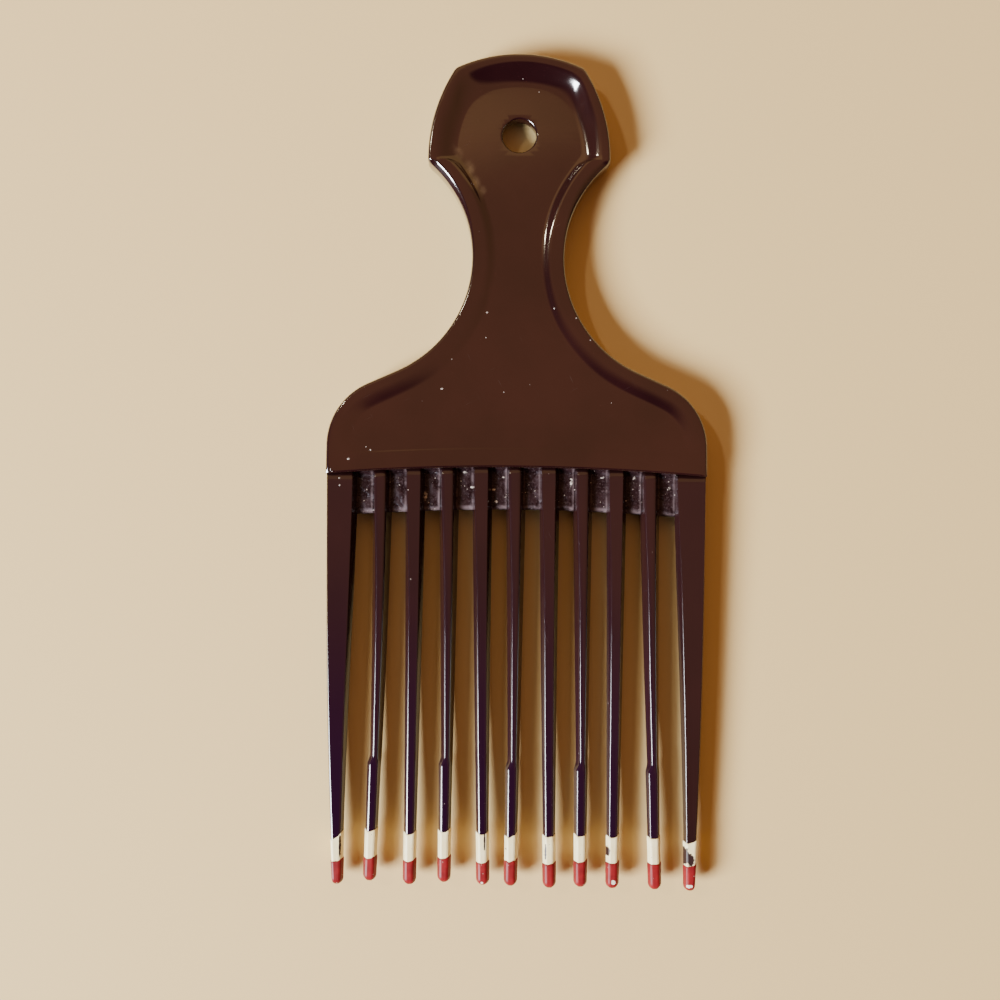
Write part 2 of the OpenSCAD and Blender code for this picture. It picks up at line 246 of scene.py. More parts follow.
def speckle(tree, where, size, share, raggedness):
    # scattered round specks: size in mm, share of cells that hold one, how ragged their edges are
    rough = add(tree, "TexNoise", {"Vector": where}, Scale=2.2 / (size * mm), Detail=2.0)
    push = add(tree, "VectorMath", {0: rough.outputs["Color"]}, operation="SCALE")
    push.inputs["Scale"].default_value = raggedness * size * mm
    moved = add(tree, "VectorMath", {0: where, 1: push.outputs[0]}, operation="ADD")
    cells = add(tree, "TexVoronoi", {"Vector": moved.outputs[0]}, Scale=0.25 / (size * mm))
    keep = add(tree, "SeparateColor", {"Color": cells.outputs["Color"]})
    chosen = calc(tree, "LESS_THAN", keep.outputs[0], share)
    return times(tree, ramp(tree, cells.outputs["Distance"], 0.2, 0.12), chosen)


def spots(tree, where, places, ragged=0.25, heart=0.92):
    # marks at given places: x, y and half widths in mm, solid out to a share heart of their size
    wobble = times(tree, minus(tree, grain(tree, where, 2600.0, 3.0), 0.5), ragged * 4)
    total = None
    for x, y, halfX, halfY in places:
        local = add(tree, "Mapping", {"Vector": where}, vector_type="POINT")
        local.inputs["Location"].default_value = (-x / halfX, -y / halfY, 0)
        local.inputs["Scale"].default_value = (1 / (halfX * mm), 1 / (halfY * mm), 0)
        far = add(tree, "VectorMath", {0: local.outputs[0]}, operation="LENGTH")
        near = ramp(tree, plus(tree, far.outputs["Value"], wobble), 1.12, heart)
        total = near if total is None else most(tree, total, near)
    return total


def hairlines(tree, where, angle, seed, length, width):
    # long thin rubbed lines lying at an angle in the plan, length and width in m
    laid = add(tree, "Mapping", {"Vector": where}, vector_type="TEXTURE")
    laid.inputs["Rotation"].default_value = (0, 0, radians(angle))
    laid.inputs["Scale"].default_value = (length, width, length)
    laid.inputs["Location"].default_value = (seed, seed * 3, 0)
    return ramp(tree, grain(tree, laid.outputs[0], 1.0, 2.0), 0.7, 0.78)


def startFinish(name, **values):
    material = bpy.data.materials.new(name)
    material.use_nodes = True
    tree = material.node_tree
    shader = tree.nodes["Principled BSDF"]
    for key, value in values.items():
        shader.inputs[key.replace("_", " ")].default_value = value
    where = add(tree, "TexCoord").outputs["Object"]
    return material, tree, shader, where


# brown plastic of the moulding
brown = {
    "dark": (0.0115, 0.0027, 0.0029), "light": (0.017, 0.004, 0.004), "paintedShade": (0.0125, 0.002, 0.0125),
    "greyed": (0.026, 0.012, 0.014), "dust": (0.42, 0.37, 0.33), "warmPatchTone": (0.5, 0.34, 0.17),
    # how much of each colour shows
    "greyedShare": 0.3, "rubbedShare": 0.02, "dustShare": 0.75, "warmPatchToneShare": 0.18,
    # roughness of the clean plastic, and what its clouds, the rubbed lines and the dust add
    "gloss": 0.1, "glossCloud": 0.04, "glossRubbed": 0.2, "glossDust": 0.5,
    # relief of the fine grain, the rubbed lines and the whole, the last in m
    "fineRelief": 0.06, "rubbedRelief": 0.05, "relief": 0.00006, "reliefStrength": 0.35,
    "speckSize": 0.16, "speckShare": 0.004, "speckRagged": 0.5,
    # noise scales of the clouds, the fine grain and the streaks in the warm patches
    "cloudScale": 55.0, "fineScale": 1400.0, "streakScale": 260.0,
    # rubbed lines: their length and width in m, then angle, seed and how fine they are
    "hairLength": 0.006, "hairWidth": 0.0002, "hairs": [(28, 1.7, 1.0), (-64, 5.1, 0.8)],
    # painted shade: the teeth turn a darker purple from the first to the second y, but not to the right of
    # these x, in m
    "paintedShadeFrom": -0.012, "paintedShadeTo": -0.07, "paintedShadeEnd": (0.0308, 0.029),
}
# crumbs of dust and lighter warm patches seen on the front: x, y, half width and half height in mm
handlePlastic = {
    "body": 1.0, "coat": 0.75, "paintedShadeShare": 0.0,
    "crumbs": [(-36.4, 0.1, 0.06, 0.26), (-36.1, -0.35, 0.14, 0.07),
               (-14.76, 16.1, 0.24, 0.18), (-32.91, 2.15, 0.22, 0.2), (-28.6, 3.97, 0.16, 0.14),
               (-6.05, 31.15, 0.2, 0.15), (11.46, 30.12, 0.14, 0.14), (14.26, 25.81, 0.12, 0.12),
               (-6.2, 26.22, 0.12, 0.1), (7.12, 32.05, 0.12, 0.12)],
    "warmPatches": [(-12.4, 62.6, 1.6, 2.4), (-10.0, 59.4, 1.5, 2.2), (-8.6, 56.8, 1.3, 1.8),
               (-7.2, 54.6, 1.1, 2.0), (-15.6, 74.2, 0.9, 2.0)],
}
toothPlastic = {
    "body": 0.4, "coat": 0.45, "paintedShadeShare": 0.9,
    "crumbs": [(-34.72, -1.6, 0.17, 0.15), (-34.63, -2.98, 0.15, 0.15), (-10.2, -0.4, 0.2, 0.14),
               (16.2, -1.2, 0.16, 0.14), (22.9, -2.1, 0.18, 0.12), (30.4, -1.3, 0.2, 0.12)],
    "warmPatches": [],
}


def brownPlastic(name, own):
    # polished moulding: a sharp outer gloss over a slightly hazy body
    look = brown
    material, tree, shader, where = startFinish(name, IOR=1.5, Specular_IOR_Level=own["body"],
                                                Coat_Weight=own["coat"], Coat_Roughness=0.06, Coat_IOR=1.5)
    cloud = grain(tree, where, look["cloudScale"], 4.0, Roughness=0.55)
    colour = blend(tree, ramp(tree, cloud, 0.3, 0.72), look["dark"], look["light"])
    if own["paintedShadeShare"]:
        colour = blend(tree, look["greyedShare"], colour, look["greyed"])
        # painted shade: towards their tips the teeth darken to a purple, standing for the darker reflection
        # there
        place = add(tree, "SeparateXYZ", {0: where})
        share = ramp(tree, place.outputs[1], look["paintedShadeFrom"], look["paintedShadeTo"])
        share = times(tree, share, own["paintedShadeShare"])
        share = times(tree, share, ramp(tree, place.outputs[0], *look["paintedShadeEnd"]))
        colour = blend(tree, share, colour, look["paintedShade"])
    rubbed = most(tree, *[hairlines(tree, where, angle, seed, look["hairLength"], look["hairWidth"] / fine)
                          for angle, seed, fine in look["hairs"]])
    rubbed = times(tree, rubbed, ramp(tree, cloud, 0.42, 0.62))
    dust = speckle(tree, where, look["speckSize"], look["speckShare"], look["speckRagged"])
    dust = most(tree, dust, spots(tree, where, own["crumbs"]))
    colour = blend(tree, times(tree, rubbed, look["rubbedShare"]), colour, look["dust"])
    colour = blend(tree, times(tree, dust, look["dustShare"]), colour, look["dust"])
    # lighter warm streaked patches on the left of the neck and the head
    if own["warmPatches"]:
        streaks = ramp(tree, grain(tree, where, look["streakScale"], 3.0, Distortion=0.4), 0.35, 0.7)
        warmPatch = times(tree, spots(tree, where, own["warmPatches"], 0.1, 0.0), streaks)
        colour = blend(tree, times(tree, warmPatch, look["warmPatchToneShare"]), colour, look["warmPatchTone"])
    tree.links.new(colour, shader.inputs["Base Color"])
    gloss = plus(tree, look["gloss"], times(tree, cloud, look["glossCloud"]))
    gloss = plus(tree, gloss, times(tree, rubbed, look["glossRubbed"]))
    gloss = plus(tree, gloss, times(tree, dust, look["glossDust"]), clamp=True)
    tree.links.new(gloss, shader.inputs["Roughness"])
    height = plus(tree, times(tree, grain(tree, where, look["fineScale"], 3.0), look["fineRelief"]), dust)
    height = minus(tree, height, times(tree, rubbed, look["rubbedRelief"]))
    bump = bumpFrom(tree, height, look["reliefStrength"], look["relief"])
    tree.links.new(bump, shader.inputs["Normal"])
    tree.links.new(bump, shader.inputs["Coat Normal"])
    return material


# root web, in millimetres; it runs under the plate by overlap and halfSpan to each side
web = {
    "height": 8.3, "thickness": 2.0, "fillet": 1.1, "overlap": 0.8, "halfSpan": 36.4,
    "steps": 260, "flatSteps": 12, "roundStep": 15,
    # lumps of dust: their height, scale, and the roughness, gain and octaves of the noise
    "lumps": 0.11, "lumpScale": 0.8, "lumpNoise": (0.7, 2.1, 4),
    # distance from one window between the teeth to the next, and how far left of the middle they start
    "pitch": 6.625, "firstSeam": 67.94,
}
webFinish = {
    # bare: the web's plastic under its film, and beside the teeth also the painted shadow of their flanks
    "film": (0.024, 0.0095, 0.011), "bare": (0.01, 0.0035, 0.0045), "crumb": (0.8, 0.7, 0.62),
    "lint": (0.24, 0.18, 0.19), "lintShare": 0.2, "lipShare": 0.55, "crumbShare": 0.85,
    "fleckSize": 0.16, "fleckShare": 0.25, "fleckRagged": 0.9,
    # how far up from the web's lower end the dust on its lip starts and is full, in mm
    "lipFrom": 1.15, "lipFull": 0.45,
    # ends of a window as shares of the pitch, outside which the web is painted in shadow, and the light seams
    # inside its right and its left side
    "windowLeft": (0.44, 0.49), "windowRight": (0.995, 0.965),
    "seamRight": (0.9, 0.96), "seamLeft": (0.54, 0.49), "seamShare": 0.8, "leftShare": 0.5,
    "gloss": 0.2, "glossFilm": 0.22, "glossCrumb": 0.4,
    "patchRelief": 0.9, "gritRelief": 0.3, "crumbRelief": 0.7, "relief": 0.0004, "reliefStrength": 0.6,
    "patchScale": 420.0, "gritScale": 2600.0, "heapScale": 950.0,
    # heaps of dust seen on the front: x, y, half width and half height in mm
    "heaps": [(-18.09, -4.9, 0.6, 0.9), (-4.4, -3.57, 0.3, 0.3), (-2.4, -1.1, 0.35, 0.25),
              (-10.08, -0.2, 0.5, 0.22), (-8.75, -3.12, 0.3, 0.25), (-27.16, -1.92, 0.3, 0.25),
              (-1.9, -5.3, 0.5, 0.35), (-3.9, -5.9, 0.35, 0.3), (10.9, -2.0, 0.3, 0.8),
              (23.3, -1.3, 0.3, 0.7), (30.1, -3.0, 0.3, 0.5), (17.0, -1.0, 0.35, 0.25)],
}


def dustyWebPaintedShade():
    look = webFinish
    material, tree, shader, where = startFinish("dustyRootWebPaintedShade", IOR=1.5, Specular_IOR_Level=0.26,
                                                Specular_Tint=(0.92, 0.88, 1.0, 1))
    patchy = grain(tree, where, look["patchScale"], 6.0, Roughness=0.68)
    grit = grain(tree, where, look["gritScale"], 4.0, Roughness=0.7)
    heap = grain(tree, where, look["heapScale"], 5.0, Roughness=0.62, Distortion=0.6)
    film = ramp(tree, patchy, 0.36, 0.66)
    colour = blend(tree, film, look["bare"], look["film"])
    lint = times(tree, ramp(tree, grit, 0.52, 0.66), look["lintShare"])
    colour = blend(tree, lint, colour, look["lint"])
    fleck = speckle(tree, where, look["fleckSize"], look["fleckShare"], look["fleckRagged"])
    crumb = most(tree, fleck, ramp(tree, heap, 0.68, 0.72))
    heaps = times(tree, spots(tree, where, look["heaps"], 0.5, 0.6), ramp(tree, heap, 0.44, 0.54))
    crumb = most(tree, crumb, heaps)
    # dust lies along the rounded lower lip, found by its distance from the centre of the plate's arc
    centred = add(tree, "VectorMath", {0: where}, operation="SUBTRACT")
    centred.inputs[1].default_value = (0, (edgeCentre.y + shiftY) * mm, 0)
    level = add(tree, "VectorMath", {0: centred.outputs[0]}, operation="MULTIPLY")
    level.inputs[1].default_value = (1, 1, 0)
    out = add(tree, "VectorMath", {0: level.outputs[0]}, operation="LENGTH")
    lowest = edgeRadius - web["height"]
    lip = ramp(tree, out.outputs["Value"], (lowest + look["lipFrom"]) * mm, (lowest + look["lipFull"]) * mm)
    # and in seams beside the teeth
    place = add(tree, "SeparateXYZ", {0: where})
    fromSeam = plus(tree, place.outputs[0], web["firstSeam"] * mm)
    turns = calc(tree, "FRACT", times(tree, fromSeam, 1 / (web["pitch"] * mm)))
    outOfFlankShade = times(tree, ramp(tree, turns, *look["windowLeft"]), ramp(tree, turns, *look["windowRight"]))
    leftSeam = times(tree, ramp(tree, turns, *look["seamLeft"]), look["leftShare"])
    seam = most(tree, ramp(tree, turns, *look["seamRight"]), leftSeam)
    lip = most(tree, lip, times(tree, seam, look["seamShare"]))
    lip = times(tree, times(tree, lip, outOfFlankShade), ramp(tree, patchy, 0.34, 0.6))
    # painted shadow: outside each window, beside the teeth, the web takes the dark bare colour for the shade
    # of their flanks
    colour = blend(tree, outOfFlankShade, look["bare"], colour)
    colour = blend(tree, times(tree, lip, look["lipShare"]), colour, look["lint"])
    colour = blend(tree, times(tree, crumb, look["crumbShare"]), colour, look["crumb"])
    tree.links.new(colour, shader.inputs["Base Color"])
    gloss = plus(tree, look["gloss"], times(tree, film, look["glossFilm"]))
    gloss = plus(tree, gloss, times(tree, crumb, look["glossCrumb"]), clamp=True)
    tree.links.new(gloss, shader.inputs["Roughness"])
    height = plus(tree, times(tree, patchy, look["patchRelief"]), times(tree, grit, look["gritRelief"]))
    height = plus(tree, height, times(tree, crumb, look["crumbRelief"]))
    tree.links.new(bumpFrom(tree, height, look["reliefStrength"], look["relief"]), shader.inputs["Normal"])
    return material


# the two paints, each with what lies under its chips
creamFinish = {
    "top": (0.97, 0.89, 0.54), "worn": (0.9, 0.78, 0.42), "under": (0.02, 0.006, 0.006),
    "gloss": 0.36, "brush": 0.35, "shine": 0.5,
}
crimsonFinish = {
    "top": (0.265, 0.012, 0.015), "worn": (0.17, 0.008, 0.011), "under": (0.82, 0.74, 0.6),
    "gloss": 0.36, "brush": 0.25, "shine": 0.28,
}
brushed = {
    # strokes per metre across and along the tooth, cloud scale, and the share and size of pits in mm
    "strokes": (2400, 260, 2400), "cloudScale": 500.0, "pitSize": 0.09, "pitShare": 0.05, "pitRagged": 0.7,
    "glossCloud": 0.16, "strokeRelief": 0.6, "chipRelief": 1.4, "relief": 0.00009, "reliefStrength": 0.6,
}


def brushedPaint(name, look, chips):
    # brushed paint with small chips that show what is below it
    material, tree, shader, where = startFinish(name, IOR=1.48, Specular_IOR_Level=look["shine"])
    laid = add(tree, "Mapping", {"Vector": where})
    laid.inputs["Scale"].default_value = brushed["strokes"]
    strokes = grain(tree, laid.outputs[0], 1.0, 3.0)
    cloud = grain(tree, where, brushed["cloudScale"], 3.0)
    colour = blend(tree, ramp(tree, cloud, 0.3, 0.75), look["worn"], look["top"])
    colour = blend(tree, times(tree, ramp(tree, strokes, 0.5, 0.8), look["brush"]), colour, look["worn"])
    bare = speckle(tree, where, brushed["pitSize"], brushed["pitShare"], brushed["pitRagged"])
    if chips:
        bare = most(tree, spots(tree, where, chips), bare)
    colour = blend(tree, bare, colour, look["under"])
    tree.links.new(colour, shader.inputs["Base Color"])
    dull = plus(tree, look["gloss"], times(tree, cloud, brushed["glossCloud"]))
    tree.links.new(dull, shader.inputs["Roughness"])
    height = minus(tree, times(tree, strokes, brushed["strokeRelief"]),
                   times(tree, bare, brushed["chipRelief"]))
    bump = bumpFrom(tree, height, brushed["reliefStrength"], brushed["relief"])
    tree.links.new(bump, shader.inputs["Normal"])
    return material


plateFinish = brownPlastic("brownPlasticHandle", handlePlastic)
toothFinish = brownPlastic("brownPlasticTeethPaintedShade", toothPlastic)
webDustAndShade = dustyWebPaintedShade()
print("finishes mixed")

# handle: dish, rim and hang hole
handle = {
    "edgeRound": 0.6, "plateEdgeRound": 0.42, "plateCorner": 1.4, "draft": 0.15, "roundSteps": 10,
    # how far up from the plate's edge its small rounding turns into that of the sides
    "edgeFrom": 0.4, "edgeRun": 1.6,
    # the bevel on the neck's side of the heels: where it starts, how far below the heels it is full and ends,
    # its slope, its foot, flat and upper rounding, and at which shares of u foot and flat end
    "heelFrom": 43.0, "heelFull": 3.0, "heelEnd": 1.6, "heelSlope": 41.0,
    "heelFoot": 0.3, "heelFlat": 0.9, "heelTop": 1.0, "heelShares": (0.3, 0.6),
    # the flat rim's width, and how much wider it is at the neck and once more at the heels
    "rim": 1.35, "neckRim": 1.25, "heelRim": 0.3, "neckRimFrom": 24.0, "neckRimFull": 38.0,
    # the dish: a small sill, a shallow step over the shoulders and, from dishFrom on, a floor that sinks
    # towards the head
    "dishFoot": 2.9, "sill": 0.085, "sillRun": 1.2, "shoulderDepth": 0.38, "shoulderRun": 10.0,
    "dishDepth": 1.75, "dishFrom": 38.0, "dishRun": 39.0, "dishEase": 1.3,
    # width of the cove at the head's top, the head's sides, the neck and the shoulders
    "coveTop": 4.9, "coveHead": 4.5, "coveNeck": 3.75, "coveSide": 3.6, "coveSteps": 18,
    # the cove's ends at the plate, out from and in from dishFoot, and the radii of its corners
    "lipOut": 0.5, "footIn": 1.1, "lipCorner": 1.8, "footCorner": 3.2, "easePasses": 12,
    # shares of the cove's width that its roundings take, over the shoulders, the neck, the head and the crown
    "upperRound": (0.7, 0.5, 0.45, 0.25), "lowerRound": (0.2, 0.5, 0.45, 0.6),
    # between which heights the neck, the head and the crown begin, the last below the head's top
    "neckBegins": (30.0, 38.0), "headBegins": (46.0, 56.0), "crownBegins": (9.0, 4.0),
    "floorFrom": 1.6, "floorReach": 73.0, "floorSteps": 78,
    "holeDrop": 15.9, "holeDiameter": 6.7, "holeRound": 0.45, "holeSteps": 64, "mouthSteps": 6,
}
heelY = meet(neckCentre, plan["neckRadius"] + plan["headHeel"],
             headCentre, plan["headSideRadius"] - plan["headHeel"]).y


def dishAt(x, y):
    # depth of the dish at a place of the plan, eased over into its full depth at the end of the slope
    h = handle
    fromEdge = y - edgeY(x)
    s = (fromEdge - h["dishFrom"]) / h["dishRun"]
    share = 0 if s <= 0 else s if s < 0.75 else 1 if s > 1.25 else 1 - (1.25 - s) ** 2
    start = h["dishFoot"]
    depth = h["sill"] * softStep(fromEdge, start, start + h["sillRun"])
    depth += h["shoulderDepth"] * softStep(fromEdge, start, start + h["shoulderRun"])
    return depth + h["dishDepth"] * share ** h["dishEase"]


def moveIn(points, amount):
    # each point of an outline moved in square to it, by an amount that depends on the place
    moved = []
    for k, p in enumerate(points):
        way = points[(k + 1) % len(points)] - points[k - 1]
        moved.append(p + Vector((-way.y, way.x)).normalized() * amount(p))
    return moved


def belowHeels(p, start, full):
    # 0 to 1 from start to full up the neck, and back to 0 just below the heels
    return softStep(p.y, start, full) * (1 - softStep(p.y, heelY - handle["heelEnd"], heelY))


def heelShare(p):
    # share of the bevel on the neck's side of the heels
    return belowHeels(p, handle["heelFrom"], heelY - handle["heelFull"])


def bevelAt(u):
    # how far in from the wall and how far below the rim the bevel is, u from 0 at the wall to 1 at the rim
    h = handle
    low, flat, top = h["heelFoot"], h["heelFlat"], h["heelTop"]
    slope = radians(h["heelSlope"])
    width = low * (1 - sin(slope)) + flat * cos(slope) + top * sin(slope)
    depth = low * cos(slope) + flat * sin(slope) + top * (1 - cos(slope))
    footEnd, flatEnd = h["heelShares"]
    if u <= footEnd:
        tilt = mix(pi / 2, slope, u / footEnd)
        return low * (1 - sin(tilt)), depth - low * cos(tilt)
    if u <= flatEnd:
        along = flat * (u - footEnd) / (flatEnd - footEnd)
        return low * (1 - sin(slope)) + along * cos(slope), depth - low * cos(slope) - along * sin(slope)
    tilt = mix(slope, 0, (u - flatEnd) / (1 - flatEnd))
    return width - top * sin(tilt), top * (1 - cos(tilt))


def edgeRing(angle):
    # the rounding from the side wall over to the rim
    h = handle
    across, rise = 1 - cos(radians(angle)), sin(radians(angle))
    wall = h["draft"] + h["edgeRound"] * across
    foot = mix(h["plateEdgeRound"] / 6, h["plateCorner"], rise)
    flat = outline(h["plateEdgeRound"] * across, wall, wall, wall, wall, foot,
                   plan["headHeel"] - wall / 2, plan["headCorner"] - wall / 2)
    inward, down = bevelAt(angle / 90)
    ring = []
    for p, q in zip(flat, moveIn(flat, lambda p: heelShare(p) * (inward - h["edgeRound"] * across))):
        fromEdge = p.y - edgeY(min(abs(p.x), halfWidth))
        share = min(1, max(0, (fromEdge - h["edgeFrom"]) / h["edgeRun"]))
        low = mix(h["plateEdgeRound"], h["edgeRound"], share)
        ring.append((q.x, q.y, plan["thickness"] - mix(low * (1 - rise), down, heelShare(p))))
    return ring


def coveShare(t, top, foot):
    # a straight wall between two roundings, the upper over a share top and the lower over a share foot
    slope = 1 / (1 - top / 2 - foot / 2)
    if t < top:
        return slope * t * t / (2 * top)
    if t < 1 - foot:
        return slope * (t - top / 2)
    return 1 - slope * (1 - t) ** 2 / (2 * foot)


def upTheHandle(y, values):
    # blends four values from the shoulders over the neck and the head to the crown
    h = handle
    shoulders, neck, head, crown = values
    value = mix(shoulders, neck, softStep(y, *h["neckBegins"]))
    value = mix(value, head, softStep(y, *h["headBegins"]))
    return mix(value, crown, softStep(y, *[handleLength - below for below in h["crownBegins"]]))


def coveRings():
    # the cove from the rim down to the floor of the dish
    h = handle
    rim = h["rim"]
    lip = outline(h["dishFoot"] - h["lipOut"], rim, rim, rim, rim, h["plateCorner"], plan["headHeel"],
                  plan["headCorner"] + h["lipCorner"])
    lip = moveIn(lip, lambda p: belowHeels(p, h["neckRimFrom"], h["neckRimFull"]) * h["neckRim"]
                 + heelShare(p) * h["heelRim"])
    foot = outline(h["dishFoot"] + h["footIn"], rim + h["coveSide"], rim + h["coveNeck"], rim + h["coveHead"],
                   rim + h["coveTop"], 2 * h["plateCorner"], plan["headHeel"],
                   h["footCorner"] * plan["headCorner"])
    for _ in range(h["easePasses"]):  # ease the foot where its stretches meet
        foot = [(foot[k - 1] + 2 * p + foot[(k + 1) % len(foot)]) / 4 for k, p in enumerate(foot)]
    rings = []
    for step in range(h["coveSteps"] + 1):
        t = step / h["coveSteps"]
        ring = []
        for near, far in zip(lip, foot):
            p = near.lerp(far, t)
            share = coveShare(t, upTheHandle(near.y, h["upperRound"]), upTheHandle(near.y, h["lowerRound"]))
            ring.append((p.x, p.y, plan["thickness"] - dishAt(p.x, p.y) * share))
        rings.append(ring)
    return rings


def mouthRings():
    # the hang hole's rounded mouth, down to the middle of the thickness
    h = handle
    holeY = handleLength - h["holeDrop"]
    rings = []
    for i in range(h["mouthSteps"] + 1):
        a = radians(90 * i / h["mouthSteps"])
        radius = h["holeDiameter"] / 2 + h["holeRound"] * (1 - sin(a))
        down = h["holeRound"] * (1 - cos(a))
        ring = [Vector((0, holeY)) + radius * turn(360 * k / h["holeSteps"]) for k in range(h["holeSteps"])]
        rings.append([(p.x, p.y, plan["thickness"] - dishAt(p.x, p.y) - down) for p in ring])
    return rings + [[(x, y, midZ) for x, y, z in rings[-1]]]


def buildHandle():
    h = handle
    bm = bmesh.new()
    foot = h["plateEdgeRound"] / 6
    middle = [(p.x, p.y, midZ) for p in outline(0, 0, 0, 0, 0, foot, plan["headHeel"], plan["headCorner"])]
    rounding = [edgeRing(90 * i / h["roundSteps"]) for i in range(h["roundSteps"] + 1)]
    rimLoop = skin(bm, [middle] + rounding + coveRings())[1]
    holeLoop = skin(bm, mouthRings())[0]
    filled = bmesh.ops.triangle_fill(bm, use_beauty=True, edges=rimLoop + holeLoop, normal=(0, 0, 1))
    for face in filled["geom"]:  # the floor's faces are marked until it is shaped
        if isinstance(face, bmesh.types.BMFace):
            face.material_index = 1
    # cut across so that the floor can follow the slope
    for i in range(h["floorSteps"]):
        y = h["floorFrom"] + h["floorReach"] * i / h["floorSteps"]
        part = [f for f in bm.faces if f.material_index == 1]
        around = {e for f in part for e in f.edges} | {v for f in part for v in f.verts}
        bmesh.ops.bisect_plane(bm, geom=part + list(around), dist=1e-5, plane_co=(0, y, 0),
                               plane_no=(0, 1, 0))
    part = [f for f in bm.faces if f.material_index == 1]
    for v in {v for f in part for v in f.verts}:
        v.co.z = plan["thickness"] - dishAt(v.co.x, v.co.y)
    for f in part:
        f.material_index = 0
    bmesh.ops.mirror(bm, geom=bm.verts[:] + bm.edges[:] + bm.faces[:], axis="Z", merge_dist=1e-4,
                     matrix=Matrix.Translation((0, 0, -midZ)))
    bmesh.ops.remove_doubles(bm, verts=bm.verts, dist=1e-4)
    toPiece(bm, "dishedHandle", plateFinish, "handle")


buildHandle()


# root web between the teeth
def buildWeb():
    w = web
    bm = bmesh.new()
    half = w["thickness"] / 2
    profile = []
    for a in range(0, 91, w["roundStep"]):  # hollow fillet under the plate's edge
        profile.append((w["fillet"] * (1 - cos(radians(a))), half + w["fillet"] * (1 - sin(radians(a)))))
    for i in range(1, w["flatSteps"]):
        profile.append((mix(w["fillet"], w["height"] - half, i / w["flatSteps"]), half))
    for a in range(90, -1, -w["roundStep"]):
        profile.append((w["height"] - half + half * cos(radians(a)), half * sin(radians(a))))
    profile = [(-w["overlap"], profile[0][1])] + profile
    profile += [(down, -z) for down, z in profile[-2::-1]]
    verts = [bm.verts.new((0, -down, midZ + z)) for down, z in profile]
    edges = [bm.edges.new(pair) for pair in zip(verts, verts[1:] + verts[:1])]
    start = degrees(atan2(w["halfSpan"], edgeRadius))
    centre = (0, -edgeRadius, 0)
    bmesh.ops.rotate(bm, verts=verts, cent=centre, matrix=Matrix.Rotation(radians(start), 3, "Z"))
    bmesh.ops.spin(bm, geom=verts + edges, cent=centre, axis=(0, 0, 1), angle=-radians(2 * start),
                   steps=w["steps"], use_merge=False)
    bmesh.ops.holes_fill(bm, edges=bm.edges, sides=0)
    bmesh.ops.recalc_face_normals(bm, faces=bm.faces)
    bm.normal_update()
    for v in bm.verts:  # years of dust make the hollow lumpy
        v.co += v.normal * w["lumps"] * noise.fractal(v.co * w["lumpScale"], *w["lumpNoise"])
    toPiece(bm, "dustyRootWebPaintedShade", webDustAndShade, "root_web", weighted=False)


buildWeb()

# teeth, in millimetres; pairs are at the root and at the tip
teeth = {
    "count": 11, "width": (4.1, 2.25), "thickness": (5.7, 2.7), "tipRound": 1.25, "stations": 34,
    "guardWidth": (6.35, 1.9), "guardEase": 1.4, "guardLean": 2.3, "leanEase": 2.4, "guardGap": 2.6,
    # how far each tooth is bent at its tip and how much shorter it is, as shares of the pitch
    "lean": [-0.04, -0.26, -0.07, -0.04, 0.12, -0.06, 0.1, 0.02, -0.03, 0.24, 0.09], "bendEase": 1.6,
    "trim": [0.09, 0.2, 0.1, 0.18, 0.11, 0.09, 0.04, 0.08, 0.05, 0.03, 0],
    # the step of the even teeth: its distance from the tip as a share of the length, its own length as a
    # share of the tip's width, and how far it cuts in as a share of the root's width
    "stepFromTip": 0.275, "stepRun": 0.8, "stepCut": 0.11, "stepStations": 8,
    # in shares of the tooth: height of the parting line, half width of the wide and of the narrow face, and
    # how far the guards' outer walls lean in
    "partHeight": (0.21, 0.2), "wideFace": (0.53, 0.5), "narrowFace": (0.4, 0.44), "outerFlank": (0.06, 0.16),
    # the facet along a face's edges: its size, slope, and shares outside and inside the edge, then the least
    # height of a flank
    "facet": (0.08, 0.36), "facetEase": 2.0, "facetSlope": 0.47, "facetOut": 0.3, "facetIn": 0.7,
    "leastHigh": 0.2,
    # roundings of the crisp face's, the soft face's and the parting line's corners
    "softCrisp": 0.1, "softRound": 0.5, "softPart": 0.16, "softShare": 0.45, "softSteps": 3,
    # wider front faces at the root on the left, and how far the teeth reach under the plate
    "rootSpread": 0.5, "rootRun": 26.0, "rootDepth": 0.9,
    # directions of the rings of the rounded end, which stays a little inside a full round
    "tipAngles": (12, 24, 36, 48, 60, 71, 80, 86), "tipFlat": 0.978, "leastGap": 0.03,
}
numbers = range(1, teeth["count"] + 1)
guards = (1, teeth["count"])
pitch = (halfWidth - teeth["guardWidth"][0] - teeth["guardGap"] - teeth["width"][0] / 2) / 4


def toothLength(i):
    return plan["toothLength"] - pitch * teeth["trim"][i - 1]


def stepPlace(i):
    # where the step is and how long, along the tooth
    return toothLength(i) - plan["toothLength"] * teeth["stepFromTip"], teeth["width"][1] * teeth["stepRun"]


def extent(i, s):
    # left and right side of a tooth at a share of its length
    t = teeth
    bend = t["lean"][i - 1] * pitch * max(0, s) ** t["bendEase"]
    if i in guards:
        outer = halfWidth - t["guardLean"] * max(0, s) ** t["leanEase"]
        inner = outer - mix(*t["guardWidth"], max(0, s) ** t["guardEase"])
        return (bend - outer, bend - inner) if i == 1 else (bend + inner, bend + outer)
    x = (i - 6) * pitch + bend
    half = mix(*t["width"], s) / 2
    return x - half, x + half


def softCorner(before, corner, after, size):
    # a small rounding in place of a sharp corner
    limit, steps = teeth["softShare"], teeth["softSteps"]
    a = corner + (before - corner).normalized() * min(size, (before - corner).length * limit)
    b = corner + (after - corner).normalized() * min(size, (after - corner).length * limit)
    shares = [k / steps for k in range(steps + 1)]
    return [a * (1 - t) ** 2 + corner * 2 * t * (1 - t) + b * t * t for t in shares]


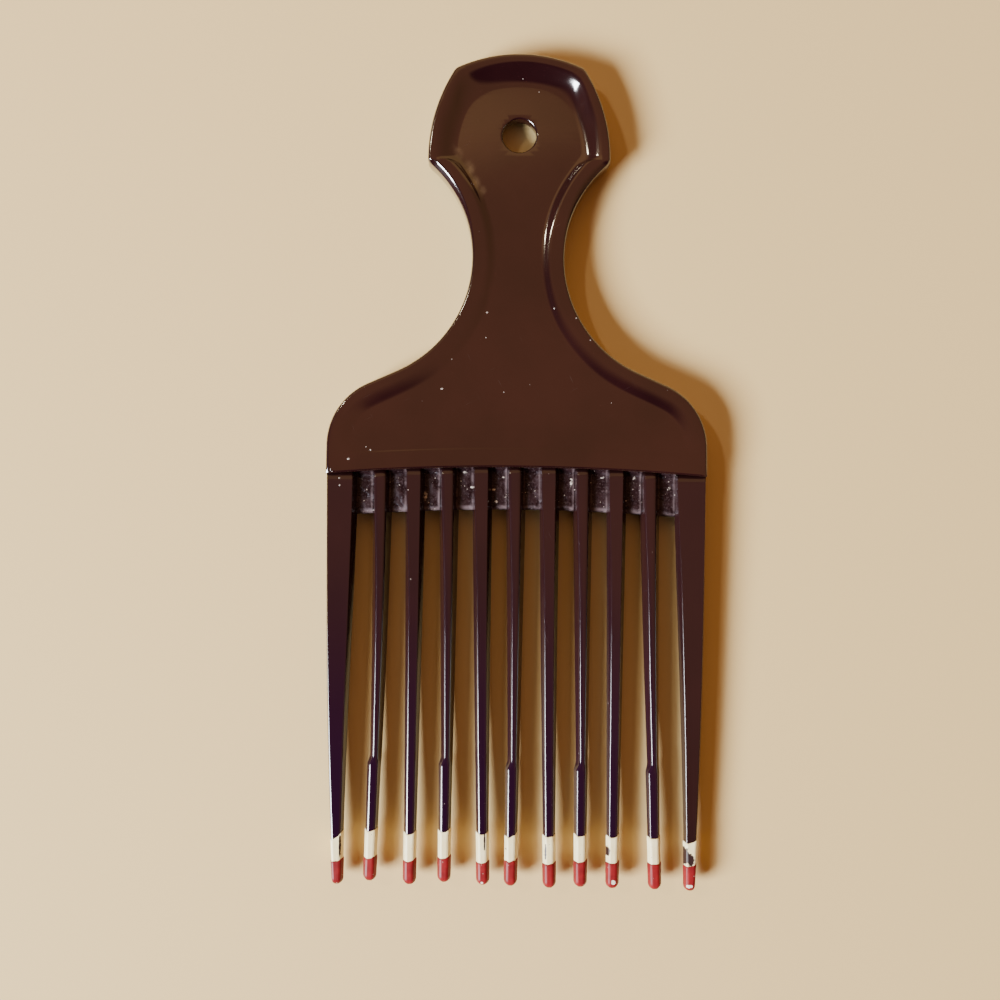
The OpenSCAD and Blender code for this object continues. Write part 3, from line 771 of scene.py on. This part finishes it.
def toothSection(i, v, coat=0.0):
    # six sides: a front face, a back face and a widest line between, which every second tooth carries the
    # other way round
    t = teeth
    s = v / toothLength(i)
    stepAt, stepLong = stepPlace(i)
    even = 0 if i in guards or i % 2 else softStep(stepAt - v, 0, stepLong)
    left, right = extent(i, s)
    left += even * t["stepCut"] * t["width"][0] * max(0, v) / stepAt - coat
    right += coat
    half = mix(*t["width"], s) / 2 + coat
    deep = mix(*t["thickness"], s) / 2 + coat
    partZ = mix(1, -1, even) * mix(*t["partHeight"], s) * deep
    wide, narrow = mix(*t["wideFace"], s), mix(*t["narrowFace"], s)
    frontFlank = half * (1 - mix(wide, narrow, even))
    backFlank = half * (1 - mix(narrow, wide, even))
    spread = t["rootSpread"] * (1 - softStep(v, 0, t["rootRun"]))
    leftFront, leftBack, rightFront, rightBack = frontFlank - spread, backFlank, frontFlank, backFlank
    outer = mix(*t["outerFlank"], s) * (right - left)
    if i == guards[0]:
        leftFront = leftBack = outer
    if i == guards[1]:
        rightFront = rightBack = outer
    crisp = mix(*t["facet"], min(1, max(0, s)) ** t["facetEase"])
    corners = []
    for x, way, z, flank in ((left, 1, 1, leftFront), (left, 1, 0, 0), (left, 1, -1, leftBack),
                             (right, -1, -1, rightBack), (right, -1, 0, 0), (right, -1, 1, rightFront)):
        if z == 0:
            corners.append((Vector((x, partZ)), t["softPart"]))
            continue
        rounded = even if z > 0 else 1 - even
        facet = mix(crisp, t["facet"][1], rounded)
        soft = mix(t["softCrisp"], t["softRound"], rounded)
        drop = facet * t["facetSlope"]
        high = max(t["leastHigh"], abs(z * deep - partZ))
        outerX = x + way * flank * (1 - drop / high) - way * facet * t["facetOut"]
        innerX = x + way * (flank + facet * t["facetIn"])
        pair = [(Vector((innerX, z * deep)), soft), (Vector((outerX, z * (deep - drop))), soft)]
        corners += pair if (way > 0) == (z > 0) else pair[::-1]
    ring = []
    for k, (corner, soft) in enumerate(corners):
        ring += softCorner(corners[k - 1][0], corner, corners[(k + 1) % len(corners)][0], soft)
    return ring


def ringAt(i, v, coat=0.0, slip=None):
    # the section laid across the tooth, slip moves each point along it
    flat = toothSection(i, v, coat)
    if slip is None:
        return [(p.x, -v, midZ + p.y) for p in flat]
    out = []
    for k, p in enumerate(flat):
        along = v + slip(p)
        q = toothSection(i, along, coat)[k]
        out.append((q.x, -along, midZ + q.y))
    return out


def tipRings(i, coat):
    # the rounded end
    t = teeth
    base = toothLength(i) - t["tipRound"]
    flat = toothSection(i, base, coat)
    centre = sum(flat, Vector((0, 0))) / len(flat)
    rings = []
    for a in t["tipAngles"]:
        shrink = cos(radians(a))
        y = -base - (t["tipRound"] + coat) * t["tipFlat"] * sin(radians(a))
        rings.append([(centre.x + (p.x - centre.x) * shrink, y, midZ + centre.y + (p.y - centre.y) * shrink)
                      for p in flat])
    return rings


def stationsOf(i, first, last):
    # places of the rings along a tooth, closer together at its step
    t = teeth
    marks = [mix(first, last, k / t["stations"]) for k in range(t["stations"] + 1)]
    if i % 2 == 0:
        stepAt, stepLong = stepPlace(i)
        marks += [stepAt - stepLong * k / t["stepStations"] for k in range(t["stepStations"] + 1)]
    marks = sorted(marks)
    return [m for k, m in enumerate(marks) if k == 0 or m - marks[k - 1] > t["leastGap"]]


def buildTooth(i):
    left, right = extent(i, 0)
    root = -min(edgeY(min(halfWidth, abs(left))), edgeY(min(halfWidth, abs(right)))) - teeth["rootDepth"]
    base = toothLength(i) - teeth["tipRound"]
    bm = bmesh.new()
    skin(bm, [ringAt(i, v) for v in stationsOf(i, root, base)] + tipRings(i, 0))
    bmesh.ops.holes_fill(bm, edges=bm.edges, sides=0)
    toPiece(bm, "tooth%02d" % i, toothFinish, "tooth_%02d" % i)


for number in numbers:
    buildTooth(number)

# painted tips
paint = {
    "baseCoat": 0.11, "redCoat": 0.11,
    # how much shorter each coat is on the flats than at the sides, how it waves, and its rings
    "creamDip": 0.5, "redDip": 0.25, "dipEase": 1.5, "wave": 0.22, "waveScale": (1.9, 1.7, 3.1),
    "steps": 10, "stepEase": 1.5,
    # the coat's upper lip: how far it starts inside, and where along and how high its next two rings are
    "lipSunk": 0.03, "lipRise": 0.02, "lipShare": 0.75, "lipLength": 0.12,
    # how far from the tip each tooth's cream and red coats reach, at its left and right side
    "cream": [(8.7, 10.6), (10.1, 10.4), (10.3, 10.6), (10.2, 10.5), (10.4, 10.5), (9.8, 10.6), (10.4, 10.6),
              (10.4, 10.5), (10.4, 10.6), (10.4, 10.5), (9.7, 10.2)],
    "red": [(4.5, 5.1), (4.5, 4.9), (4.6, 5.2), (4.7, 5.2), (4.4, 4.8), (4.9, 5.3), (4.7, 5.2), (5.0, 5.3),
            (5.1, 5.3), (5.1, 5.3), (5.0, 5.3)],
    # chips seen on the front: tooth, x, y, half width and half height in mm
    "creamChips": {1: [(-33.98, -73.9, 0.19, 2.1)], 5: [(-5.53, -72.5, 0.17, 2.0)],
                   6: [(-1.35, -74.25, 0.14, 0.14)], 7: [(6.47, -74.7, 0.17, 1.6)],
                   9: [(18.6, -74.5, 0.5, 0.9)],
                   11: [(33.7, -75.3, 0.95, 1.7), (34.9, -75.9, 0.75, 1.15), (34.4, -71.6, 0.9, 0.5)]},
    "redChips": {5: [(-6.04, -80.95, 0.24, 0.26)], 9: [(19.79, -80.5, 0.42, 0.42)],
                 11: [(34.72, -81.15, 0.62, 0.34)]},
}


def buildCoat(i, name, node, ends, below, above, material, dip):
    # a coat from its uneven upper line, at these distances from the tip, down over the rounded end
    p = paint
    length = toothLength(i)
    base = length - teeth["tipRound"]
    left, right = extent(i, 1 - ends[1] / length)
    middle, halfSpan = (left + right) / 2, (right - left) / 2
    waveX, waveZ, waveStep = p["waveScale"]

    def slip(q):
        # the brush left the coat longest at the sides and short on the flats
        side = (q.x - middle) / halfSpan
        start = mix(*ends, min(1, max(0, (side + 1) / 2)))
        sag = dip * (1 - min(1, abs(side)) ** p["dipEase"])
        wave = p["wave"] * noise.noise(Vector((q.x * waveX, q.y * waveZ, i * waveStep)))
        return -(start - max(ends)) + sag + wave

    first = length - max(ends)
    full = first + p["lipLength"]
    rings = [ringAt(i, first, below - p["lipSunk"], slip),
             ringAt(i, first + p["lipRise"], mix(below, above, p["lipShare"]), slip),
             ringAt(i, full, above, slip)]
    for k in range(1, p["steps"] + 1):
        ease = (1 - k / p["steps"]) ** p["stepEase"]
        rings.append(ringAt(i, full + (base - full) * k / p["steps"], above, lambda q, e=ease: slip(q) * e))
    bm = bmesh.new()
    skin(bm, rings + tipRings(i, above))
    bmesh.ops.holes_fill(bm, edges=bm.edges, sides=0)
    toPiece(bm, name, material, node)


for number in numbers:
    creamPaint = brushedPaint("creamPaint%02d" % number, creamFinish, paint["creamChips"].get(number))
    crimsonPaint = brushedPaint("crimsonPaint%02d" % number, crimsonFinish, paint["redChips"].get(number))
    buildCoat(number, "creamCoat%02d" % number, "base_coat_%02d" % number,
              paint["cream"][number - 1], 0.0, paint["baseCoat"], creamPaint, paint["creamDip"])
    buildCoat(number, "crimsonCoat%02d" % number, "red_coat_%02d" % number,
              paint["red"][number - 1], paint["baseCoat"], paint["baseCoat"] + paint["redCoat"], crimsonPaint,
              paint["redDip"])

# floor, lights, room and camera
stage = {
    "floorTone": (0.74, 0.54, 0.235), "floorWorn": (0.64, 0.46, 0.23), "wornShare": 0.12, "floorSize": 3.0,
    "floorDrop": 0.00005, "floorRough": 0.75,
    "grainScale": 900.0, "grainRelief": 0.0001, "grainStrength": 0.1,
    # the camera's place in mm, its turns in radians, its lens and film width in mm, and its reach in m
    "camera": (-2.00144, -7.9318, 235.0), "roll": -0.00963, "tipX": -0.01006, "tipY": -0.00497,
    "lens": 42.06, "film": 36, "nearest": 0.01, "farthest": 20,
    # name, azimuth, elevation, distance, width and height in m, power in W, colour
    "lights": [("windowLight", 207, 34, 1.6, 0.64, 0.58, 94, (0.92, 0.94, 0.98)),
               ("sideLamp", 144, 48, 1.5, 0.09, 0.09, 3.2, (1.0, 0.87, 0.62))],
}
room = {
    "shade": (0.01, 0.003, 0.014), "ceiling": (0.42, 0.19, 0.093), "farGlow": (0.44, 0.27, 0.1),
    # where the dark near side ends and where the glow behind the head begins
    "nearEnds": (-0.28, 0.04), "farBegins": (0.36, 0.43), "farSlant": 0.4,
    # how fast the light falls to the left and low on the right, how much it gains on the right above the
    # heights rightFrom, and how fast it rises behind the head
    "left": 1.2, "rightDrop": 1.0, "right": 1.5, "rightFrom": (0.05, 0.2), "behind": 0.9,
    # where the ceiling's light begins and is full, and what is left of it below
    "ceilingFrom": (0.3, 0.95), "least": 0.12,
}


def buildStage():
    bm = bmesh.new()
    bmesh.ops.create_grid(bm, x_segments=1, y_segments=1, size=stage["floorSize"] / 2)
    bmesh.ops.translate(bm, verts=bm.verts, vec=(0, 0, -stage["floorDrop"]))
    mesh = bpy.data.meshes.new("paleFloor")
    bm.to_mesh(mesh)
    bm.free()
    material, tree, shader, where = startFinish("palePaper", Roughness=stage["floorRough"])
    paper = grain(tree, where, stage["grainScale"], 4.0)
    tone = blend(tree, times(tree, paper, stage["wornShare"]), stage["floorTone"], stage["floorWorn"])
    tree.links.new(tone, shader.inputs["Base Color"])
    bump = bumpFrom(tree, paper, stage["grainStrength"], stage["grainRelief"])
    tree.links.new(bump, shader.inputs["Normal"])
    mesh.materials.append(material)
    floor = bpy.data.objects.new("paleFloor", mesh)
    bpy.context.scene.collection.objects.link(floor)


def buildLights():
    for name, azimuth, elevation, distance, wide, high, power, colour in stage["lights"]:
        data = bpy.data.lights.new(name, "AREA")
        data.shape = "RECTANGLE"
        data.size = wide
        data.size_y = high
        data.energy = power
        data.color = colour
        lamp = bpy.data.objects.new(name, data)
        around, up = radians(azimuth), radians(elevation)
        lamp.location = distance * Vector((cos(up) * cos(around), cos(up) * sin(around), sin(up)))
        lamp.rotation_euler = (-lamp.location).to_track_quat("-Z", "Y").to_euler()
        bpy.context.scene.collection.objects.link(lamp)


def buildRoom():
    # a soft room: warm overhead, brighter behind the head and on the right above a low dim band, dim on the
    # left and dark on the near side
    world = bpy.data.worlds.new("softRoom")
    world.use_nodes = True
    tree = world.node_tree
    way = add(tree, "SeparateXYZ", {0: add(tree, "TexCoord").outputs["Generated"]})
    x, y, z = way.outputs[0], way.outputs[1], way.outputs[2]
    rightward = most(tree, x, 0.0)
    near = ramp(tree, plus(tree, y, rightward), *room["nearEnds"])
    rise = minus(tree, times(tree, ramp(tree, z, *room["rightFrom"]), room["right"]), room["rightDrop"])
    leftward = calc(tree, "MINIMUM", x, 0.0)
    sideways = plus(tree, times(tree, leftward, room["left"]), times(tree, rightward, rise))
    sideways = plus(tree, sideways, times(tree, most(tree, y, 0.0), room["behind"]))
    over = ramp(tree, plus(tree, z, sideways), *room["ceilingFrom"])
    over = plus(tree, times(tree, over, 1 - room["least"]), room["least"])
    far = ramp(tree, minus(tree, y, times(tree, x, room["farSlant"])), *room["farBegins"])
    glow = blend(tree, times(tree, near, over), room["shade"], room["ceiling"])
    extra = blend(tree, times(tree, far, over), (0.0, 0.0, 0.0), room["farGlow"])
    glow = add(tree, "VectorMath", {0: glow, 1: extra}, operation="ADD").outputs[0]
    tree.links.new(glow, tree.nodes["Background"].inputs["Color"])
    bpy.context.scene.world = world


def buildCamera():
    data = bpy.data.cameras.new("camera")
    data.lens = stage["lens"]
    data.sensor_width = stage["film"]
    data.clip_start = stage["nearest"]
    data.clip_end = stage["farthest"]
    camera = bpy.data.objects.new("camera", data)
    look = Matrix.Rotation(stage["roll"], 3, "Z")
    look = look @ Matrix.Rotation(stage["tipX"], 3, "X") @ Matrix.Rotation(stage["tipY"], 3, "Y")
    camera.matrix_world = Matrix.Translation(Vector(stage["camera"]) * mm) @ look.transposed().to_4x4()
    bpy.context.scene.collection.objects.link(camera)
    bpy.context.scene.camera = camera


buildStage()
buildLights()
buildRoom()
buildCamera()
print("stage, lights and camera set")
